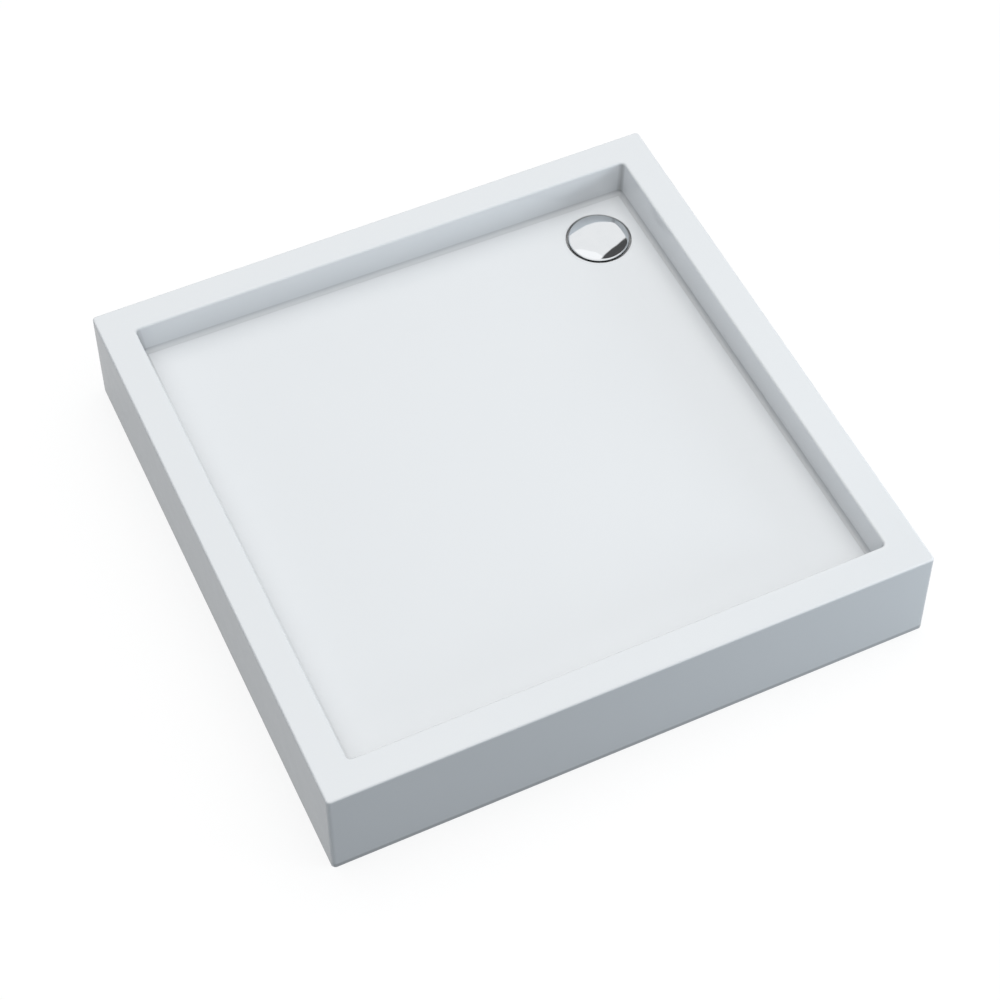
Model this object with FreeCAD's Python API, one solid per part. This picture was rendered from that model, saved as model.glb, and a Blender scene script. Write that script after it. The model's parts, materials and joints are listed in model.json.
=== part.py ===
import FreeCAD, Part
import math
import os
from FreeCAD import Rotation, Vector

# Square shower tray with an integral apron on four sides, a base board, five
# levelling feet and a low 90 mm waste trap. Millimetres, +Z up. The origin is
# the middle of the footprint, on the floor. The waste is in the +X +Y corner.

# Acrylic tray
tray_width = 1000.0                # across the bottom edge of the apron
tray_height = 183.0
apron_draft = 1.0                  # degrees, wider towards the floor
apron_corner_radius = 6.5
apron_top_radius = 2.5
rim_width = 54.7
rim_inner_radius = 4.0
bowl_corner_radius = 8.0
bowl_draft = 5.0                   # degrees, narrower towards the bowl's floor
cove_radius = 7.0
floor_depth = 55.1                 # below the rim, in the middle of the bowl
floor_fall = 0.0119                # drop per unit along +X, and the same along +Y
acrylic_thickness = 4.0

# Glass-fibre backing and base board
fibreglass_thickness = 3.0
fibreglass_hem = 12.0              # where the backing stops above the floor
board_thickness = 16.0
board_inset = 17.0                 # from the bowl's top edge
board_notch_reach = 78.0           # from the waste's axis, open to the board's corner
board_slot_width = 84.0
board_slot_length = 100.0          # from the waste's axis

# Seat moulded into the floor for the waste
waste_inset = 88.6                 # from the bowl's top edge, along X and along Y
seat_radius = 55.5
seat_depth = 7.0                   # below the floor at the waste's centre
seat_edge_radius = 1.5
waste_hole_radius = 45.0

# Levelling feet
foot_inset = 75.0                  # from the board's edges
waste_foot_setback = 138.0         # from the waste's axis, along Y
socket_flange_radius = 30.0
socket_flange_thickness = 5.0
socket_radius = 11.0
socket_length = 36.0
socket_cap = 2.0
gusset_count = 4
gusset_thickness = 3.0
gusset_height = 15.0
gusset_reach = 27.0
stud_radius = 6.0
stud_engagement = 28.0
stud_chamfer = 1.0
stud_collar_radius = 8.0
stud_collar_height = 6.7
stud_hex_width = 10.0              # across flats
stud_hex_height = 8.0
locknut_width = 19.0               # across flats
locknut_thickness = 7.0
pad_radius = 27.5
pad_rim_height = 6.0
pad_height = 14.0
pad_neck_radius = 13.0
pad_sole_thickness = 4.0
pad_lip_thickness = 3.0
pad_lip_radius = 6.3
thread_clearance = 0.06            # radial, stud in its socket and nut

# Wood screws of the sockets
screw_circle_radius = 21.0
screws_per_socket = 4
screw_radius = 2.1
screw_bite = 12.0                  # depth in the board
screw_head_radius = 4.0
screw_head_height = 2.4
screw_hole_clearance = 0.25
pilot_clearance = 0.05
recess_length = 4.4
recess_width = 0.9
recess_depth = 1.2

# Waste flange, gaskets and their screws
gasket_thickness = 1.5
upper_gasket_radius = 51.0
flange_radius = 51.5
flange_thickness = 2.0
flange_opening_radius = 34.0
flange_skirt_thickness = 1.4
flange_skirt_depth = 6.0           # below the seat
flange_skirt_clearance = 0.6       # inside the waste hole
flange_screw_circle_radius = 38.7
flange_screw_count = 4
flange_screw_radius = 2.0
flange_screw_head_radius = 4.0
flange_screw_length = 16.0
lower_gasket_radius = 57.0

# Trap body
trap_flange_radius = 58.0
trap_flange_thickness = 4.0
trap_radius = 47.2
trap_wall = 2.5
trap_depth = 106.5                 # from the seat to the underside
trap_base_radius = 8.0
shelf_depth = 20.0                 # from the seat to the shelf's top
shelf_thickness = 2.5
pillar_radius = 3.4
pillar_clearance = 0.3
outlet_depth = 46.5                # from the seat to the outlet's axis
outlet_length = 73.0               # from the waste's axis to the outlet's mouth
outlet_radius = 29.0
outlet_bore_radius = 23.0
outlet_socket_depth = 19.0

# Pipe elbow, its seal and its nut
pipe_radius = 25.0
pipe_wall = 1.8
pipe_clearance = 0.3
elbow_end_gap = 0.5
elbow_bend_radius = 45.0
elbow_run_in = 12.0                # straight pipe between the mouth and the bend
elbow_run_out = 50.0
seal_length = 4.0
seal_rim = 0.1
nut_radius = 33.0
nut_length = 19.0
nut_lip_thickness = 2.7
nut_rib_count = 12
nut_rib_radius = 2.2
nut_clearance = 0.3

# Lift-out cup and its seal
cup_collar_radius = 33.6
cup_collar_thickness = 2.5
cup_wall = 2.0
cup_height = 15.0                  # above the collar
dip_tube_radius = 29.0
dip_tube_end_gap = 4.5             # above the trap's inner floor
dip_seal_height = 2.0
dip_seal_depth = 0.8
dip_seal_stand_out = 0.7
dip_seal_drop = 0.3                # below the collar
dip_hole_clearance = 0.3           # round the seal
bridge_width = 6.0
bridge_thickness = 3.0
bridge_drop = 7.0                  # below the cup's top

# Hair strainer
strainer_radius = 33.4
strainer_thickness = 1.6
strainer_skirt_depth = 3.0
strainer_skirt_clearance = 0.3
strainer_hole_radius = 2.0
strainer_rings = 3
strainer_ring_step = 6.2
strainer_first_ring = 12.5
strainer_hole_pitch = 6.4
hub_radius = 7.0

# Cover
cover_radius = 52.0
cover_thickness = 1.2
cover_crown = 3.0                  # above the rim's top
cover_crown_radius = 1340.0        # curve of the nearly flat middle
cover_shoulder_start = 28.0        # from the axis, where the tighter curve takes over
cover_shoulder_radius = 118.0
cover_rim_radius = 3.0
cover_rim_depth = 3.0
cover_stand_out = 2.7              # rim's top above the floor at the waste's centre
cover_boss_radius = 8.0
cover_stem_radius = 4.0
cover_stem_length = 8.0
cover_rib_count = 3
cover_rib_thickness = 1.6
cover_rib_drop = 2.2
cover_seat_drop = 3.2              # from the rim's top down to the hub

# How far a cutting tool runs past what it cuts
overrun = 10.0
least_radius = 0.5

# Worked out from the values above
up = Vector(0, 0, 1)
tilt = math.sqrt(1.0 + 2.0 * floor_fall ** 2)
skin = acrylic_thickness + fibreglass_thickness
rim_half = tray_width / 2 - tray_height * math.tan(math.radians(apron_draft))
bowl_top_half = rim_half - rim_width
board_half = bowl_top_half - board_inset
foot_reach = board_half - foot_inset
waste_offset = bowl_top_half - waste_inset


def floor_level(x, y, depth=0.0):
    """Height of the plane that lies depth under the bowl's floor, square to it."""
    return tray_height - floor_depth - floor_fall * (x + y) - depth * tilt


waste = Vector(waste_offset, waste_offset, 0)
waste_floor = floor_level(waste_offset, waste_offset)
seat_level = waste_floor - seat_depth
trap_top = seat_level - skin - gasket_thickness
shelf_top = seat_level - shelf_depth
outlet_level = seat_level - outlet_depth
trap_bottom = seat_level - trap_depth
trap_bore_radius = trap_radius - trap_wall
flange_bottom = seat_level + gasket_thickness
flange_top = flange_bottom + flange_thickness
skirt_radius = waste_hole_radius - flange_skirt_clearance
cup_bottom = shelf_top + cup_collar_thickness
cup_top = cup_bottom + cup_height
cup_bore_radius = cup_collar_radius - cup_wall
strainer_top = cup_top + strainer_thickness
cover_rim_top = waste_floor + cover_stand_out
hub_top = cover_rim_top - cover_seat_drop
foot_places = {
    "front_left": (-foot_reach, -foot_reach),
    "front_right": (foot_reach, -foot_reach),
    "back_left": (-foot_reach, foot_reach),
    "waste_side": (foot_reach, waste_offset - waste_foot_setback),
    "centre": (0.0, 0.0),
}


def cylinder(radius, low, high, centre=Vector(0, 0, 0)):
    return Part.makeCylinder(radius, high - low, centre + Vector(0, 0, low))


def ring(inner, outer, low, high, centre=Vector(0, 0, 0)):
    bore = cylinder(inner, low - overrun, high + overrun, centre)
    return cylinder(outer, low, high, centre).cut(bore)


def pipe_along_x(radius, start, end, centre):
    """Cylinder on the X line through centre, from start to end along X."""
    return Part.makeCylinder(radius, end - start, centre + Vector(start, 0, 0), Vector(1, 0, 0))


def hexagon(width, low, high, centre):
    corner = width / math.sqrt(3.0)
    points = []
    for step in range(7):
        angle = math.radians(60.0 * step)
        points.append(centre + Vector(corner * math.cos(angle), corner * math.sin(angle), low))
    return Part.Face(Part.makePolygon(points)).extrude(Vector(0, 0, high - low))


def around(count, start=0.0):
    """Angles in degrees of count equal steps round a circle."""
    return [start + 360.0 * step / count for step in range(count)]


def polar(radius, angle):
    return Rotation(up, angle).multVec(Vector(radius, 0, 0))


def joined(shapes):
    result = shapes[0]
    for shape in shapes[1:]:
        result = result.fuse(shape)
    return result.removeSplitter()


def rounded_square(half, radius, level):
    """Closed wire: a square with rounded corners, lying flat at level."""
    flat = half - radius
    edges = []
    for quarter in range(4):
        turn = Rotation(up, 90.0 * quarter)
        diagonal = radius * math.sqrt(0.5)
        start = turn.multVec(Vector(half, -flat, level))
        side_end = turn.multVec(Vector(half, flat, level))
        middle = turn.multVec(Vector(flat + diagonal, flat + diagonal, level))
        corner_end = turn.multVec(Vector(flat, half, level))
        edges.append(Part.makeLine(start, side_end))
        edges.append(Part.Arc(side_end, middle, corner_end).toShape())
    return Part.Wire(edges)


def frustum(half_at, radius, low, high):
    """Upright block with rounded corners; half_at gives its half width at a level."""
    wires = [rounded_square(half_at(low), radius, low), rounded_square(half_at(high), radius, high)]
    return Part.makeLoft(wires, True, True)


def fillet_loop(shape, level, half_limits, radius):
    """Rounds the edges that lie at level and pass between the two half widths."""
    low, high = half_limits
    edges = []
    for edge in shape.Edges:
        box = edge.BoundBox
        reach = max(abs(box.XMin), abs(box.XMax), abs(box.YMin), abs(box.YMax))
        flat = abs(box.ZMin - level) < least_radius and abs(box.ZMax - level) < least_radius
        if flat and low < reach < high:
            edges.append(edge)
    return shape.makeFillet(radius, edges)


def prism_from_floor(half, depth, height):
    """Upright prism on the plane that lies depth under the floor; height may be negative."""
    corners = []
    for x, y in ((-half, -half), (half, -half), (half, half), (-half, half), (-half, -half)):
        corners.append(Vector(x, y, floor_level(x, y, depth)))
    return Part.Face(Part.makePolygon(corners)).extrude(Vector(0, 0, height))


def bowl_cavity(inset):
    """Space of the bowl, grown outwards by inset, with the seat of the waste."""
    slope = math.tan(math.radians(bowl_draft))
    growth = inset / math.cos(math.radians(bowl_draft))

    def half_at(level):
        return bowl_top_half - (tray_height - level) * slope + growth

    deepest = floor_level(bowl_top_half, bowl_top_half, inset) - overrun
    walls = frustum(half_at, bowl_corner_radius + inset, deepest, tray_height + overrun)
    above_floor = prism_from_floor(tray_width, inset, tray_height)
    cavity = walls.common(above_floor)
    floor_face = min(cavity.Faces, key=lambda face: face.CenterOfMass.z)
    cavity = cavity.makeFillet(cove_radius + inset, floor_face.Edges)
    seat = cylinder(seat_radius + inset, seat_level - inset, waste_floor + overrun, waste)
    cavity = cavity.fuse(seat).removeSplitter()
    if seat_edge_radius > inset:
        cavity = round_seat_edge(cavity, seat_edge_radius - inset)
    return cavity


def round_seat_edge(cavity, radius):
    """Rounds the edge where the seat's wall meets the bowl's floor."""
    edges = []
    for edge in cavity.Edges:
        middle = edge.valueAt((edge.FirstParameter + edge.LastParameter) / 2)
        off_axis = math.hypot(middle.x - waste.x, middle.y - waste.y)
        near_floor = abs(middle.z - floor_level(middle.x, middle.y)) < least_radius
        if near_floor and abs(off_axis - seat_radius) < least_radius:
            edges.append(edge)
    return cavity.makeFillet(radius, edges)


def tray_form(inset):
    """The tray as a block with its bowl, shrunk inwards by inset on every face."""
    slope = math.tan(math.radians(apron_draft))
    shrink = inset / math.cos(math.radians(apron_draft))
    top = tray_height - inset
    low = -overrun if inset else 0.0

    def half_at(level):
        return tray_width / 2 - level * slope - shrink

    corner_radius = max(apron_corner_radius - inset, least_radius)
    block = frustum(half_at, corner_radius, low, top)
    form = block.cut(bowl_cavity(inset))
    middle_of_rim = half_at(top) - rim_width / 2
    if rim_inner_radius > inset:
        form = fillet_loop(form, top, (0.0, middle_of_rim), rim_inner_radius - inset)
    if apron_top_radius > inset:
        form = fillet_loop(form, top, (middle_of_rim, tray_width), apron_top_radius - inset)
    return form


def waste_hole():
    return cylinder(waste_hole_radius, 0, tray_height, waste)


def tray_shell(outside, inside):
    return outside.cut(inside).cut(waste_hole())


def fibreglass_backing(outside, inside):
    size = tray_width + 2 * overrun
    corner = Vector(-size / 2, -size / 2, -2 * overrun)
    below_hem = Part.makeBox(size, size, fibreglass_hem + 2 * overrun, corner)
    return outside.cut(inside).cut(below_hem).cut(waste_hole())


def board_underside(x, y):
    return floor_level(x, y, skin + board_thickness)


def base_board():
    board = prism_from_floor(board_half, skin, -board_thickness * tilt)
    notch_corner = waste - Vector(board_notch_reach, board_notch_reach, 0)
    board = board.cut(Part.makeBox(tray_width, tray_width, tray_height, notch_corner))
    slot_corner = Vector(waste.x - board_slot_length, waste.y - board_slot_width / 2, 0)
    board = board.cut(Part.makeBox(board_slot_length, board_slot_width, tray_height, slot_corner))
    for x, y in foot_places.values():
        for place in screw_places(x, y):
            level = board_underside(x, y)
            pilot = cylinder(screw_radius + pilot_clearance, level - overrun, level + screw_bite, place)
            board = board.cut(pilot)
    return board


def screw_places(x, y):
    places = []
    for angle in around(screws_per_socket):
        places.append(Vector(x, y, 0) + polar(screw_circle_radius, angle))
    return places


def below_board():
    """Space under the base board, which trims what seats against it."""
    return prism_from_floor(tray_width, skin + board_thickness, -tray_height * tilt)


def gusset(place, angle, flange_bottom_level):
    inner = socket_radius - gusset_thickness
    points = [
        Vector(inner, 0, flange_bottom_level),
        Vector(gusset_reach, 0, flange_bottom_level),
        Vector(socket_radius, 0, flange_bottom_level - gusset_height),
        Vector(inner, 0, flange_bottom_level - gusset_height),
        Vector(inner, 0, flange_bottom_level),
    ]
    plate = Part.Face(Part.makePolygon(points)).extrude(Vector(0, gusset_thickness, 0))
    plate.translate(Vector(0, -gusset_thickness / 2, 0))
    plate.rotate(Vector(0, 0, 0), up, angle)
    plate.translate(place)
    return plate


def foot_socket(x, y):
    place = Vector(x, y, 0)
    level = board_underside(x, y)
    flange_low = level - socket_flange_thickness
    pieces = [
        cylinder(socket_flange_radius, flange_low, level + overrun, place),
        cylinder(socket_radius, level - socket_length, flange_low, place),
    ]
    for angle in around(gusset_count, 180.0 / gusset_count):
        pieces.append(gusset(place, angle, flange_low))
    socket = joined(pieces).common(below_board())
    bore_radius = stud_radius + thread_clearance
    socket = socket.cut(cylinder(bore_radius, level - socket_length - overrun, level - socket_cap, place))
    for hole_place in screw_places(x, y):
        hole = cylinder(screw_radius + screw_hole_clearance, flange_low - overrun, tray_height, hole_place)
        socket = socket.cut(hole)
    return socket


def foot_locknut(x, y):
    place = Vector(x, y, 0)
    top = board_underside(x, y) - socket_length
    nut = hexagon(locknut_width, top - locknut_thickness, top, place)
    bore_radius = stud_radius + thread_clearance
    return nut.cut(cylinder(bore_radius, top - 2 * locknut_thickness, top + overrun, place))


def foot_stud(x, y):
    place = Vector(x, y, 0)
    top = board_underside(x, y) - socket_length + stud_engagement
    collar_top = pad_sole_thickness + stud_collar_height
    hex_top = pad_height + stud_hex_height
    rod = cylinder(stud_radius, hex_top, top, place)
    end_edges = [edge for edge in rod.Edges if edge.BoundBox.ZMin > top - least_radius]
    rod = rod.makeChamfer(stud_chamfer, end_edges)
    collar = cylinder(stud_collar_radius, pad_sole_thickness, collar_top, place)
    return joined([collar, hexagon(stud_hex_width, collar_top, hex_top, place), rod])


def foot_pad(x, y):
    place = Vector(x, y, 0)
    cone = Part.makeCone(pad_radius, pad_neck_radius, pad_height - pad_rim_height,
                         place + Vector(0, 0, pad_rim_height))
    pad = joined([cylinder(pad_radius, 0, pad_rim_height, place), cone])
    pocket_top = pad_height - pad_lip_thickness
    pad = pad.cut(cylinder(stud_collar_radius + thread_clearance, pad_sole_thickness, pocket_top, place))
    return pad.cut(cylinder(pad_lip_radius, pad_sole_thickness, pad_height + overrun, place))


def cross_recess(place, level, depth):
    """Cross-shaped driver recess, cut upwards from level (depth may be negative)."""
    low = min(level, level + depth)
    tools = []
    for length, width in ((recess_length, recess_width), (recess_width, recess_length)):
        corner = place + Vector(-length / 2, -width / 2, low)
        tools.append(Part.makeBox(length, width, abs(depth), corner))
    return joined(tools)


def socket_screw(place, level):
    """Pan-head wood screw driven up into the board, whose underside is at level."""
    seat = level - socket_flange_thickness
    head = cylinder(screw_head_radius, seat - screw_head_height, seat, place)
    low_edges = [edge for edge in head.Edges if edge.BoundBox.ZMax < seat - screw_head_height / 2]
    head = head.makeFillet(screw_head_height / 2, low_edges)
    shank = cylinder(screw_radius, seat, level + screw_bite - least_radius, place)
    screw = joined([head, shank])
    return screw.cut(cross_recess(place, seat - screw_head_height, recess_depth))


def socket_screws():
    screws = []
    for x, y in foot_places.values():
        for place in screw_places(x, y):
            screws.append(socket_screw(place, board_underside(x, y)))
    return Part.makeCompound(screws)


def flange_screw_places():
    places = []
    for angle in around(flange_screw_count, 180.0 / flange_screw_count):
        places.append(waste + polar(flange_screw_circle_radius, angle))
    return places


def countersunk(radius, head_radius, low, top, place):
    head_height = head_radius - radius
    cone = Part.makeCone(radius, head_radius, head_height, place + Vector(0, 0, top - head_height))
    return joined([cylinder(radius, low, top - head_height, place), cone])


def flange_screws():
    screws = []
    for place in flange_screw_places():
        low = flange_top - flange_screw_length
        screw = countersunk(flange_screw_radius, flange_screw_head_radius, low, flange_top, place)
        screws.append(screw.cut(cross_recess(place, flange_top, -recess_depth)))
    return Part.makeCompound(screws)


def upper_gasket():
    return ring(waste_hole_radius, upper_gasket_radius, seat_level, flange_bottom, waste)


def lower_gasket():
    return ring(waste_hole_radius, lower_gasket_radius, trap_top, trap_top + gasket_thickness, waste)


def waste_flange():
    lip = ring(flange_opening_radius, flange_radius, flange_bottom, flange_top, waste)
    skirt = ring(skirt_radius - flange_skirt_thickness, skirt_radius,
                 seat_level - flange_skirt_depth, flange_bottom, waste)
    flange = joined([lip, skirt])
    for place in flange_screw_places():
        hole = countersunk(flange_screw_radius + pilot_clearance,
                           flange_screw_head_radius + pilot_clearance,
                           flange_bottom - overrun, flange_top, place)
        flange = flange.cut(hole)
    return flange


def trap_body():
    outlet_centre = waste + Vector(0, 0, outlet_level)
    body = cylinder(trap_radius, trap_bottom, trap_top, waste)
    low_edges = [edge for edge in body.Edges if edge.BoundBox.ZMax < trap_bottom + least_radius]
    body = body.makeFillet(trap_base_radius, low_edges)
    outlet = pipe_along_x(outlet_radius, -outlet_length, 0, outlet_centre)
    flange = cylinder(trap_flange_radius, trap_top - trap_flange_thickness, trap_top, waste)
    body = joined([body, outlet, flange])
    chamber = cylinder(trap_bore_radius, trap_bottom + trap_wall, trap_top + overrun, waste)
    low_edges = [edge for edge in chamber.Edges if edge.BoundBox.ZMax < trap_bottom + 2 * trap_wall]
    chamber = chamber.makeFillet(trap_base_radius - trap_wall, low_edges)
    body = body.cut(chamber)
    body = body.cut(pipe_along_x(outlet_bore_radius, -outlet_length - overrun, 0, outlet_centre))
    socket_start = -outlet_length - overrun
    socket = pipe_along_x(pipe_radius + pipe_clearance, socket_start,
                          -outlet_length + outlet_socket_depth, outlet_centre)
    body = body.cut(socket)
    hole_radius = dip_tube_radius + dip_seal_stand_out + dip_hole_clearance
    shelf = ring(hole_radius, trap_bore_radius + trap_wall / 2, shelf_top - shelf_thickness, shelf_top, waste)
    pieces = [body, shelf]
    for place in flange_screw_places():
        pieces.append(cylinder(pillar_radius, shelf_top - shelf_thickness,
                               flange_bottom - pillar_clearance, place))
    body = joined(pieces)
    for place in flange_screw_places():
        low = flange_top - flange_screw_length - least_radius
        body = body.cut(cylinder(flange_screw_radius + pilot_clearance, low, tray_height, place))
    return body


def outlet_seal():
    centre = waste + Vector(0, 0, outlet_level)
    outer = pipe_along_x(outlet_radius - seal_rim, -outlet_length - seal_length, -outlet_length, centre)
    bore = pipe_along_x(pipe_radius + pipe_clearance, -outlet_length - seal_length - overrun, 0, centre)
    return outer.cut(bore)


def outlet_nut():
    centre = waste + Vector(0, 0, outlet_level)
    lip_start = -outlet_length - seal_length - nut_clearance
    start = lip_start - nut_lip_thickness
    end = start + nut_length
    pieces = [pipe_along_x(nut_radius, start, end, centre)]
    for angle in around(nut_rib_count):
        offset = Rotation(Vector(1, 0, 0), angle).multVec(Vector(0, nut_radius - least_radius, 0))
        pieces.append(pipe_along_x(nut_rib_radius, start, end, centre + offset))
    nut = joined(pieces)
    nut = nut.cut(pipe_along_x(outlet_radius + nut_clearance, lip_start, end + overrun, centre))
    return nut.cut(pipe_along_x(pipe_radius + pipe_clearance, start - overrun, end, centre))


def swept_pipe(radius, path, start, direction):
    circle = Part.makeCircle(radius, start, direction)
    return path.makePipe(Part.Face(Part.Wire(circle)))


def elbow_path(overlap):
    """Centre line of the elbow, longer by overlap at both ends."""
    centre = waste + Vector(0, 0, outlet_level)
    inlet = centre + Vector(-outlet_length + outlet_socket_depth - elbow_end_gap + overlap, 0, 0)
    bend_start = centre + Vector(-outlet_length - seal_length - elbow_run_in, 0, 0)
    bend_end = bend_start + Vector(-elbow_bend_radius, -elbow_bend_radius, 0)
    bend_centre = bend_start + Vector(0, -elbow_bend_radius, 0)
    diagonal = elbow_bend_radius * math.sqrt(0.5)
    bend_middle = bend_centre + Vector(-diagonal, diagonal, 0)
    outlet = bend_end + Vector(0, -elbow_run_out - overlap, 0)
    edges = [
        Part.makeLine(inlet, bend_start),
        Part.Arc(bend_start, bend_middle, bend_end).toShape(),
        Part.makeLine(bend_end, outlet),
    ]
    return Part.Wire(edges), inlet


def outlet_elbow():
    outer_path, outer_start = elbow_path(0.0)
    inner_path, inner_start = elbow_path(overrun)
    direction = Vector(-1, 0, 0)
    outer = swept_pipe(pipe_radius, outer_path, outer_start, direction)
    return outer.cut(swept_pipe(pipe_radius - pipe_wall, inner_path, inner_start, direction))


def dip_seal_levels():
    top = shelf_top - dip_seal_drop
    return top - dip_seal_height, top


def dip_cup():
    tube_bottom = trap_bottom + trap_wall + dip_tube_end_gap
    tube_bore = dip_tube_radius - cup_wall
    cup = joined([
        cylinder(dip_tube_radius, tube_bottom, shelf_top, waste),
        cylinder(cup_collar_radius, shelf_top, cup_top, waste),
    ])
    cup = cup.cut(cylinder(cup_bore_radius, cup_bottom, cup_top + overrun, waste))
    cup = cup.cut(cylinder(tube_bore, tube_bottom - overrun, cup_top, waste))
    seal_low, seal_high = dip_seal_levels()
    cup = cup.cut(ring(dip_tube_radius - dip_seal_depth, cup_collar_radius, seal_low, seal_high, waste))
    bridge_top = cup_top - bridge_drop
    bridge = Part.makeBox(2 * cup_collar_radius, bridge_width, bridge_thickness,
                          waste + Vector(-cup_collar_radius, -bridge_width / 2,
                                         bridge_top - bridge_thickness))
    inside = cylinder(cup_collar_radius - cup_wall / 2, cup_bottom, cup_top, waste)
    return joined([cup, bridge.common(inside)])


def cup_seal():
    seal_low, seal_high = dip_seal_levels()
    return ring(dip_tube_radius - dip_seal_depth, dip_tube_radius + dip_seal_stand_out,
                seal_low, seal_high, waste)


def hair_strainer():
    skirt_outer = cup_bore_radius - strainer_skirt_clearance
    strainer = joined([
        cylinder(strainer_radius, cup_top, strainer_top, waste),
        ring(skirt_outer - cup_wall / 2, skirt_outer, cup_top - strainer_skirt_depth, cup_top, waste),
        cylinder(hub_radius, cup_top - strainer_skirt_depth, hub_top, waste),
    ])
    bore_radius = cover_stem_radius + thread_clearance
    strainer = strainer.cut(cylinder(bore_radius, cup_bottom, hub_top + overrun, waste))
    holes = []
    for number in range(strainer_rings):
        ring_radius = strainer_first_ring + number * strainer_ring_step
        count = int(2 * math.pi * ring_radius / strainer_hole_pitch)
        for angle in around(count):
            place = waste + polar(ring_radius, angle)
            holes.append(cylinder(strainer_hole_radius, cup_top - least_radius,
                                  strainer_top + least_radius, place))
    return strainer.cut(Part.makeCompound(holes))


def upright_arc(centre, radius, start, end):
    """Arc in the XZ plane; its angles, in radians, run from +Z towards +X."""
    spots = []
    for angle in (start, (start + end) / 2, end):
        spots.append(centre + Vector(radius * math.sin(angle), 0, radius * math.cos(angle)))
    return Part.Arc(*spots).toShape()


def cover_dome(inset):
    """Domed disc with a curved shoulder and a rolled rim, shrunk inwards by inset."""
    crown_top = cover_rim_top + cover_crown
    low = cover_rim_top - cover_rim_depth - (overrun if inset else 0.0)
    crown_centre = Vector(0, 0, crown_top - cover_crown_radius)
    crown_end = math.asin(cover_shoulder_start / cover_crown_radius)
    apart = cover_crown_radius - cover_shoulder_radius
    shoulder_centre = crown_centre + Vector(apart * math.sin(crown_end), 0, apart * math.cos(crown_end))
    apart = cover_shoulder_radius - cover_rim_radius
    shoulder_end = math.asin((cover_radius - cover_rim_radius - shoulder_centre.x) / apart)
    rim_centre = shoulder_centre + Vector(apart * math.sin(shoulder_end), 0, apart * math.cos(shoulder_end))
    edges = [
        upright_arc(crown_centre, cover_crown_radius - inset, 0.0, crown_end),
        upright_arc(shoulder_centre, cover_shoulder_radius - inset, crown_end, shoulder_end),
        upright_arc(rim_centre, cover_rim_radius - inset, shoulder_end, math.pi / 2),
    ]
    outline = [
        rim_centre + Vector(cover_rim_radius - inset, 0, 0),
        Vector(cover_radius - inset, 0, low),
        Vector(0, 0, low),
        Vector(0, 0, crown_top - inset),
    ]
    edges += [Part.makeLine(start, end) for start, end in zip(outline, outline[1:])]
    profile = Part.Face(Part.Wire(edges))
    dome = profile.revolve(Vector(0, 0, 0), up, 360.0)
    dome.translate(waste)
    return dome


def waste_cover():
    inside = cover_dome(cover_thickness)
    cover = cover_dome(0.0).cut(inside)
    boss = cylinder(cover_boss_radius, hub_top, cover_rim_top + cover_crown, waste).common(inside)
    stem = cylinder(cover_stem_radius, hub_top - cover_stem_length, hub_top, waste)
    pieces = [cover, boss, stem]
    for angle in around(cover_rib_count):
        rib = Part.makeBox(cover_radius, cover_rib_thickness, cover_crown + cover_rib_drop,
                           Vector(0, -cover_rib_thickness / 2, cover_rim_top - cover_rib_drop))
        rib.rotate(Vector(0, 0, 0), up, angle)
        rib.translate(waste)
        pieces.append(rib.common(inside))
    return joined(pieces)


def build():
    visible = tray_form(0.0)
    behind_acrylic = tray_form(acrylic_thickness)
    behind_backing = tray_form(skin)
    nodes = {
        "tray_shell": tray_shell(visible, behind_acrylic),
        "fibreglass_backing": fibreglass_backing(behind_acrylic, behind_backing),
        "base_board": base_board(),
        "socket_screws": socket_screws(),
        "waste_flange": waste_flange(),
        "flange_screws": flange_screws(),
        "upper_gasket": upper_gasket(),
        "lower_gasket": lower_gasket(),
        "trap_body": trap_body(),
        "outlet_seal": outlet_seal(),
        "outlet_nut": outlet_nut(),
        "outlet_elbow": outlet_elbow(),
        "dip_cup": dip_cup(),
        "cup_seal": cup_seal(),
        "hair_strainer": hair_strainer(),
        "waste_cover": waste_cover(),
    }
    for name, (x, y) in foot_places.items():
        nodes["socket_" + name] = foot_socket(x, y)
        nodes["locknut_" + name] = foot_locknut(x, y)
        nodes["stud_" + name] = foot_stud(x, y)
        nodes["pad_" + name] = foot_pad(x, y)
    return nodes


os.makedirs("parts", exist_ok=True)
for node, shape in build().items():
    shape.exportStep("parts/" + node + ".step")
    box = shape.BoundBox
    print(node, len(shape.Solids), shape.isValid(), round(shape.Volume),
          [round(value, 1) for value in (box.XMin, box.YMin, box.ZMin, box.XMax, box.YMax, box.ZMax)])
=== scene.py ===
import json
import math

import bmesh
import bpy
from mathutils import Matrix, Vector, noise


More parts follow.
